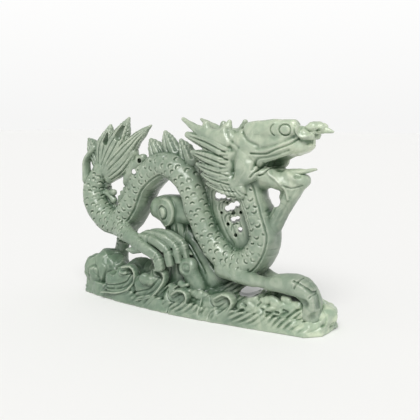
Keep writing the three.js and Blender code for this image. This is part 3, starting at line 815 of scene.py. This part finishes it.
def water(seed, lumps=0.8):
    """Relief for a wave: strokes on its flanks and lumps of foam on its top."""
    def relief(local):
        foam = lumps * wave_noise(local.x, local.y, local.z, 9.0, seed + 2)
        return wave_strokes(local.x, local.y, local.z, seed) - foam
    return relief


def rugged(seed, lumps):
    """Relief for bare rock: broad facets and a few worn creases."""
    def relief(local):
        broad = wave_noise(local.x, local.y, local.z, 19.0, seed)
        crease = bump(wave_noise(local.x, local.y, local.z, 15.0, seed + 1), 0.2)
        return lumps * np.abs(broad) + 0.5 * crease - 0.5 * lumps
    return relief


def add_base_slab(stone):
    slices, x, y, z = block((-109, -29, -3), (109, 29, BASE_HEIGHT + MARGIN))
    xs = [BASE_HALF_LENGTH * u for u, _ in BASE_EDGE]
    widths = [BASE_HALF_WIDTH * v for _, v in BASE_EDGE]
    half_width = np.interp(x, xs, widths)
    lean = BASE_LEAN * np.maximum(z, 0.0)
    flank = np.abs(y) - half_width + lean
    end = np.maximum(-x - BASE_HALF_LENGTH, x - BASE_RIGHT_END) + lean
    distance = np.maximum(np.maximum(flank, end), z - BASE_HEIGHT)
    calm = smoothstep(-70.0, 10.0, x)
    strokes = wave_strokes(x, y, z, 21) * smoothstep(1.5, 4.5, z) * (0.45 + 0.55 * calm)
    distance = np.maximum(distance + strokes, -z)
    stone.add("base_slab", slices, distance, blend=1.5)


def add_wave(stone, node, wave):
    """A curling wave: a solid bowl with a raised rim, and a lump of foam that it throws over."""
    face = wave["face"]
    inward = 1.0 if face < 0 else -1.0
    bowl = [
        [x, face + inward * BOWL_DEPTH, z, radius, BOWL_HALF_WIDTH] for x, z, radius in wave["bowl"]
    ]
    stone.limb(node, bowl, blend=2.0, boxiness=2.6)
    rim = [
        [x, face + inward * RIM_DEPTH, z, min(1.3, 0.5 + 0.4 * i), min(3.6, 2.2 + 0.7 * i)]
        for i, (x, z) in enumerate(wave["rim"])
    ]
    stone.limb(node, rim, blend=0.8)
    if wave["lump"]:
        x, z, radius = wave["lump"]
        ball(stone, node, x, face + inward * LUMP_DEPTH, z, radius, 0.7)
    carve_flow(stone, wave, face, inward)


def carve_flow(stone, wave, face, inward):
    """Dishes the bowl inside its rim, with lines of flow that follow the rim."""
    xs, zs = [p[0] for p in wave["rim"]], [p[1] for p in wave["rim"]]
    low, high = sorted((face - inward * 4.0, face + inward * 6.0))
    slices, x, _, z = block((min(xs) - 12, low, min(zs) - 4), (max(xs) + 4, high, max(zs) + 4))
    gap = stroke_distance(wave["rim"], x, z)
    inside = 0.0
    for centre_x, centre_z, radius in wave["bowl"]:
        spread = np.hypot(x - centre_x, z - centre_z)
        inside = np.maximum(inside, smoothstep(radius + 1.0, radius - 3.0, spread))
    lines = bump((gap / FLOW_PITCH) % 1.0 - 0.72, 0.24)
    lines = lines * smoothstep(1.8, 3.0, gap) * smoothstep(10.0, 7.0, gap)
    dish = smoothstep(1.2, 3.5, gap)
    stone.press(slices, (FLOW_CUT * lines + DISH_CUT * dish) * inside)


def add_foam(stone):
    """Broken lumps and pockets of spray over the tops of the waves."""
    draw = np.random.default_rng(5)
    for first, last, count in FOAM_BANDS:
        for share in np.linspace(0.0, 1.0, count):
            x, y, z = (a + (b - a) * share for a, b in zip(first, last))
            run, depth, rise = draw.uniform(-1.0, 1.0, 3)
            tilt, radius = draw.uniform(-0.5, 0.5), draw.uniform(1.3, 2.6)
            node = "middle_swell" if x < SWELLS_MEET else "right_swell"
            low, high = (
                [x + run + end * FOAM_HALF_LENGTH, y + depth,
                 z + FOAM_SCATTER * rise + end * FOAM_HALF_LENGTH * tilt, radius, FOAM_HALF_WIDTH]
                for end in (-1, 1)
            )
            stone.limb(node, [low, high], blend=1.0)
    for x, y, z in FOAM_POCKETS:
        size, tilt = draw.uniform(0.9, 1.6), draw.uniform(-0.4, 1.2)
        stone.hollow([[x - 1.2, y, z - tilt, size, 3.2], [x + 1.2, y, z + tilt, size, 3.2]])


def add_waves(stone):
    add_base_slab(stone)
    stone.limb("left_rock", LEFT_ROCK, blend=2.0, relief=rugged(31, 1.8))
    stone.limb("middle_swell", MIDDLE_SWELL, blend=2.5, relief=water(41, 1.2))
    stone.limb("middle_swell", MIDDLE_ROCK, blend=2.0, relief=rugged(43, 1.8))
    stone.limb("right_swell", RIGHT_SWELL, blend=2.5, relief=water(51, 1.2))
    stone.limb("right_swell", RIGHT_ROCK, blend=2.0, relief=water(53, 1.2))
    stone.limb("right_lump", RIGHT_LUMP, blend=2.0, relief=rugged(57, 2.0))
    add_foam(stone)
    for i, wave in enumerate(FRONT_WAVES):
        add_wave(stone, f"front_crest_{i + 1}", wave)
    for i, wave in enumerate(BACK_WAVES):
        add_wave(stone, f"back_crest_{i + 1}", wave)
    stone.limb("wave_roll", WAVE_ROLL, blend=1.0)
    stone.limb("wave_roll", WAVE_ROLL_STEM, blend=1.5)
    stone.hollow(ROLL_DISC)
    ball(stone, "wave_roll", *ROLL_BUTTON, 0.8)
    stone.hollow(ROCK_POCKET)
    engrave(stone, ROCK_SWIRL, 1.6, 0.9, near=-20.0, far=-3.0)
    stone.hollow(ARM_SLOT)
    for stations in RIGHT_SCOOPS:
        stone.hollow(stations, soft=1.5)


def weather(stone):
    """Nothing on a hand-cut stone is quite true."""
    x, y, z = AXES[0][:, None, None], AXES[1][None, :, None], AXES[2][None, None, :]
    uneven = 0.28 * wave_noise(x, y, z, 17.0, 61) + 0.13 * wave_noise(x, y, z, 7.0, 62)
    stone.skin += uneven.astype(np.float32)


def flatten_underside(stone):
    """Nothing reaches below the surface that the base rests on."""
    stone.skin = np.maximum(stone.skin, -AXES[2][None, None, :]).astype(np.float32)


# ---- material

# Where each stone grows paler towards the right and the top, partly its own tone and partly painted light: a
# slope in each direction, then the shift of its middle.
DRAGON_TONE_AND_LIGHT_DRIFT = ((3.2, 0.0, 5.0), 0.0)
WAVES_TONE_AND_LIGHT_DRIFT = ((5.6, 0.0, 2.0), 0.33)
TONE_AND_LIGHT_TINTS = [
    (0.0, (0.74, 0.84, 0.77)), (0.3, (0.90, 0.96, 0.91)),
    (0.56, (0.92, 0.965, 0.925)), (1.0, (1.95, 1.89, 1.80)),
]
# Painted shade: the colour that hollows and recesses are darkened towards, where shade falls.
HOLLOW_SHADE = (0.30, 0.40, 0.325)


# Pale worn edges, brightened further as a painted highlight on the ridges.
EDGE_WEAR_AND_HIGHLIGHT = (0.72, 0.72, 0.72)
POLISH = {
    "Subsurface Weight": 0.22, "Subsurface Radius": (0.9, 1.0, 0.9), "Subsurface Scale": 0.0015,
    "IOR": 1.62,
}


def noise(tree, place, scale, detail, distortion=0.0):
    node = tree.nodes.new("ShaderNodeTexNoise")
    node.inputs["Scale"].default_value = scale
    node.inputs["Detail"].default_value = detail
    node.inputs["Distortion"].default_value = distortion
    tree.links.new(place, node.inputs["Vector"])
    return node.outputs["Fac"]


def ramp(tree, source, stops):
    """Turns a value into a colour; each stop is a place and its colour."""
    node = tree.nodes.new("ShaderNodeValToRGB")
    while len(node.color_ramp.elements) < len(stops):
        node.color_ramp.elements.new(0.5)
    for element, (place, colour) in zip(node.color_ramp.elements, stops):
        element.position = place
        element.color = (*colour, 1.0)
    tree.links.new(source, node.inputs["Fac"])
    return node.outputs["Color"]


def mix(tree, first, second, factor=None, kind="MIX"):
    """Mixes two colours by a factor, or fully where there is none."""
    node = tree.nodes.new("ShaderNodeMix")
    node.data_type = "RGBA"
    node.blend_type = kind
    if factor is None:
        node.inputs["Factor"].default_value = 1.0
    else:
        tree.links.new(factor, node.inputs["Factor"])
    tree.links.new(first, node.inputs["A"])
    tree.links.new(second, node.inputs["B"])
    return node.outputs["Result"]


def attribute(tree, label):
    node = tree.nodes.new("ShaderNodeAttribute")
    node.attribute_name = label
    return node.outputs["Fac"]


def drift(tree, place, slope, shift):
    """A value that grows across the stone."""
    across = tree.nodes.new("ShaderNodeVectorMath")
    across.operation = "DOT_PRODUCT"
    across.inputs[1].default_value = slope
    tree.links.new(place, across.inputs[0])
    shifted = tree.nodes.new("ShaderNodeMath")
    shifted.operation = "ADD"
    shifted.inputs[1].default_value = shift
    tree.links.new(across.outputs["Value"], shifted.inputs[0])
    return shifted.outputs["Value"]


def jade(name, pale, middle, dark, roughness, drift_slope, drift_shift):
    """Waxy polished stone: clouded colour, painted shade in the hollows, pale worn edges with a painted
    highlight, a paler drift that is partly the stone's tone and partly painted light, and a fine uneven
    polish.
    """
    material = bpy.data.materials.new(name)
    material.use_nodes = True
    tree = material.node_tree
    shader = tree.nodes["Principled BSDF"]
    for label, value in POLISH.items():
        shader.inputs[label].default_value = value
    place = tree.nodes.new("ShaderNodeTexCoord").outputs["Object"]
    clouds = ramp(tree, noise(tree, place, 26.0, 6.0, 0.8), [(0.32, dark), (0.5, middle), (0.68, pale)])
    veins = ramp(tree, noise(tree, place, 75.0, 8.0, 2.2), [(0.42, middle), (0.62, pale)])
    body = mix(tree, clouds, veins, noise(tree, place, 14.0, 2.0))
    # Paler to the right and the top: the stone's own tone, with painted light where the light falls.
    tone_and_light = ramp(tree, drift(tree, place, drift_slope, drift_shift), TONE_AND_LIGHT_TINTS)
    body = mix(tree, body, tone_and_light, kind="MULTIPLY")
    # Painted shade darkens the colour in hollows and recesses.
    shaded = ramp(tree, attribute(tree, "hollow"), [(0.0, (1, 1, 1)), (1.0, HOLLOW_SHADE)])
    body = mix(tree, body, shaded, kind="MULTIPLY")
    # Pale worn edges with a painted highlight on the ridges, up to 1.3 times the pale colour.
    edge_wear_and_highlight = ramp(tree, attribute(tree, "edge"), [(0.0, (0, 0, 0)), (1.0, EDGE_WEAR_AND_HIGHLIGHT)])
    bright = tuple(1.3 * channel for channel in pale)
    edge_colour = ramp(tree, noise(tree, place, 40.0, 3.0), [(0.3, pale), (0.7, bright)])
    tree.links.new(mix(tree, body, edge_colour, edge_wear_and_highlight), shader.inputs["Base Color"])
    low, high = roughness
    gloss = ramp(tree, noise(tree, place, 60.0, 5.0), [(0.3, (low,) * 3), (0.7, (high,) * 3)])
    tree.links.new(gloss, shader.inputs["Roughness"])
    relief = tree.nodes.new("ShaderNodeBump")
    relief.inputs["Strength"].default_value = 0.22
    relief.inputs["Distance"].default_value = 0.0006
    tree.links.new(noise(tree, place, 420.0, 6.0), relief.inputs["Height"])
    tree.links.new(relief.outputs["Normal"], shader.inputs["Normal"])
    return material


MATERIALS = {
    "jade_dragon": jade(
        "jade_dragon", (0.375, 0.41, 0.33), (0.235, 0.287, 0.224), (0.105, 0.157, 0.112), (0.22, 0.38),
        *DRAGON_TONE_AND_LIGHT_DRIFT
    ),
    "jade_waves": jade(
        "jade_waves", (0.315, 0.36, 0.28), (0.172, 0.23, 0.173), (0.08, 0.128, 0.088), (0.24, 0.42),
        *WAVES_TONE_AND_LIGHT_DRIFT
    ),
}
WAVE_NODES = ("base_slab", "crest", "wave_roll", "swell", "left_rock", "right_lump", "cloud_")


def slot_of(node):
    return "jade_waves" if any(word in node for word in WAVE_NODES) else "jade_dragon"


# ---- cutting the stone into pieces

BAND = 3.0
FINE_BLUR, BROAD_BLUR, DEEP_BLUR = 0.9, 4.0, 8.0
BLUR_CLIP = 4.0
# For the painted shade in fine, broad and deep hollows: the depth at which the shade is full, and its weight.
HOLLOW_SHADE_DEPTHS = ((0.35, 0.6), (1.5, 0.7), (1.6, 0.75))
EDGE_HEIGHT, EDGE_START = 0.3, 0.25


def add_object(name, data):
    thing = bpy.data.objects.new(name, data)
    bpy.context.scene.collection.objects.link(thing)
    return thing


def blurred(field, radius):
    """A box blur, made by running sums along each axis."""
    reach = max(1, int(round(radius / VOXEL)))
    for axis in range(3):
        edges = [(reach + 1, reach) if a == axis else (0, 0) for a in range(3)]
        padded = np.pad(field, edges, mode="edge")
        total = np.cumsum(padded, axis=axis, dtype=np.float64)
        size = field.shape[axis]
        high = np.take(total, np.arange(2 * reach + 1, 2 * reach + 1 + size), axis=axis)
        low = np.take(total, np.arange(0, size), axis=axis)
        field = ((high - low) / (2 * reach + 1)).astype(np.float32)
    return field


def sampled(field, points):
    """The grid's value at each point, in grid steps, by trilinear reading."""
    limits = np.array(field.shape) - 2
    base = np.clip(np.floor(points).astype(int), 0, limits)
    share = np.clip(points - base, 0.0, 1.0)
    total = 0.0
    for corner in np.ndindex(2, 2, 2):
        weight = np.prod(np.where(np.array(corner), share, 1.0 - share), axis=1)
        index = base + np.array(corner)
        total = total + weight * field[index[:, 0], index[:, 1], index[:, 2]]
    return total


def largest_surface(points, quads):
    """Keeps the largest connected surface, so that no crumb is left."""
    label = np.arange(len(points))
    while True:
        lowest = label[quads].min(axis=1)
        new = label.copy()
        np.minimum.at(new, quads.ravel(), np.repeat(lowest, quads.shape[1]))
        new = new[new]
        if np.array_equal(new, label):
            break
        label = new
    names, counts = np.unique(label[quads[:, 0]], return_counts=True)
    kept = label == names[np.argmax(counts)]
    quads = quads[kept[quads[:, 0]]]
    renumber = np.cumsum(kept) - 1
    return points[kept], renumber[quads]


def painted_shade_highlight_and_wear(steps, readings):
    """How deep the painted shade in hollows lies, and how strong the pale worn edge with its painted
    highlight is, at each point, from 0 to 1.
    """
    depths = [sampled(field, steps) for field in readings]
    hollow = 0.0
    for depth, (full, weight) in zip(depths, HOLLOW_SHADE_DEPTHS):
        hollow = hollow + np.clip(-depth / full, 0.0, 1.0) * weight
    edge = np.clip(depths[0] / EDGE_HEIGHT - EDGE_START, 0.0, 1.0)
    return {"hollow": np.clip(hollow, 0.0, 1.0), "edge": edge}


def mesh_piece(name, slices, field, readings):
    """The closed surface of a field as an object, with its painted shade, edge wear and painted highlight
    stored for the material.
    """
    border = np.pad(np.clip(field, -BAND, BAND), 1, constant_values=BAND).astype(np.float32)
    grid = openvdb.FloatGrid(BAND)
    grid.copyFromArray(border)
    grid.transform = openvdb.createLinearTransform(voxelSize=1.0)
    points, quads = grid.convertToQuads(isovalue=0.0)
    points, quads = largest_surface(points, quads.astype(int))
    steps = points - 1.0 + np.array([s.start for s in slices])
    low = np.array([axis[0] for axis in AXES])
    places = (low + steps * VOXEL) * MM
    mesh = bpy.data.meshes.new(name)
    mesh.from_pydata(places.tolist(), [], quads[:, ::-1].tolist())
    mesh.update()
    mesh.polygons.foreach_set("use_smooth", [True] * len(mesh.polygons))
    for label, values in painted_shade_highlight_and_wear(steps, readings).items():
        layer = mesh.attributes.new(label, "FLOAT", "POINT")
        layer.data.foreach_set("value", values.astype(np.float32))
    return add_object(name, mesh)


def build_pieces(stone):
    fields = {node: stone.field(node) for node in stone.parts}
    best = np.full(SHAPE, FAR, np.float32)
    second = np.full(SHAPE, FAR, np.float32)
    for slices, field in fields.values():
        second[slices] = np.minimum(second[slices], np.maximum(best[slices], field))
        best[slices] = np.minimum(best[slices], field)
    # Blurred readings of the skin give the painted shade in hollows and the pale worn, painted highlight on
    # edges.
    shallow = np.clip(stone.skin, -BLUR_CLIP, BLUR_CLIP)
    fine = blurred(stone.skin, FINE_BLUR) - stone.skin
    readings = (fine, blurred(shallow, BROAD_BLUR), blurred(shallow, DEEP_BLUR))
    for node, (slices, field) in fields.items():
        nearest = best[slices]
        others = np.where(field <= nearest, second[slices], nearest)
        cell = field - others
        piece_field = stone.skin[slices] + SINK * np.maximum(cell, 0.0)
        piece_field = np.maximum(piece_field, cell - OVERLAP)
        piece = mesh_piece("carved_" + node, slices, piece_field, readings)
        piece.data.materials.append(MATERIALS[slot_of(node)])
        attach(piece, "root")
        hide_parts(node)


# ---- camera, light and floor

CAMERA_PLACE = Vector((0.2717, -0.4039, 0.134))
CAMERA_HEADING = math.radians(33.0)
CAMERA_PITCH = math.radians(7.4)
SENSOR = 36.0
FOCAL = 60.5


def add_camera():
    data = bpy.data.cameras.new("camera")
    data.sensor_width = SENSOR
    data.lens = FOCAL
    data.clip_start = 0.01
    camera = add_object("camera", data)
    camera.location = CAMERA_PLACE
    camera.rotation_euler = (math.pi / 2.0 - CAMERA_PITCH, 0.0, CAMERA_HEADING)
    bpy.context.scene.camera = camera


SUN_FROM = (0.30, -0.58, 0.757)
SUN_STRENGTH = 2.62
SUN_SPREAD = math.radians(34.0)
SUN_COLOUR = (1.0, 0.995, 0.98)
# The tent's brightness by the height of the direction, from the floor to straight up.
TENT = [(0.0, 0.92), (0.16, 0.99), (0.34, 0.43), (1.0, 0.42)]
PAPER = (0.86, 0.86, 0.855, 1.0)
FLOOR_HALF = 6.0


def add_floor():
    mesh = bpy.data.meshes.new("floor")
    corners = [(FLOOR_HALF * x, FLOOR_HALF * y, 0) for x, y in ((-1, -1), (1, -1), (1, 1), (-1, 1))]
    mesh.from_pydata(corners, [], [(0, 1, 2, 3)])
    floor = add_object("floor", mesh)
    paper = bpy.data.materials.new("paper")
    paper.use_nodes = True
    shader = paper.node_tree.nodes["Principled BSDF"]
    shader.inputs["Base Color"].default_value = PAPER
    shader.inputs["Roughness"].default_value = 0.9
    floor.data.materials.append(paper)


def add_studio():
    add_floor()
    bpy.context.scene.world = studio_world()
    bpy.context.scene.view_settings.view_transform = "Standard"
    data = bpy.data.lights.new("window", "SUN")
    data.angle = SUN_SPREAD
    data.energy = SUN_STRENGTH
    data.color = SUN_COLOUR
    lamp = add_object("window", data)
    lamp.rotation_euler = Vector(SUN_FROM).to_track_quat("Z", "Y").to_euler()


def studio_world():
    """A white tent: bright sides, which meet the floor without a line, and a dimmer roof."""
    world = bpy.data.worlds.new("world")
    world.use_nodes = True
    tree = world.node_tree
    coordinates = tree.nodes.new("ShaderNodeTexCoord")
    split = tree.nodes.new("ShaderNodeSeparateXYZ")
    tree.links.new(coordinates.outputs["Generated"], split.inputs["Vector"])
    stops = [(height, (level, level, level * 0.995)) for height, level in TENT]
    sky = ramp(tree, split.outputs["Z"], stops)
    tree.links.new(sky, tree.nodes["Background"].inputs["Color"])
    return world


# ---- build

stone = Stone()
add_trunk(stone)
add_tail(stone)
add_head(stone)
add_legs(stone)
add_clouds(stone)
add_waves(stone)
weather(stone)
flatten_underside(stone)
build_pieces(stone)
add_camera()
add_studio()
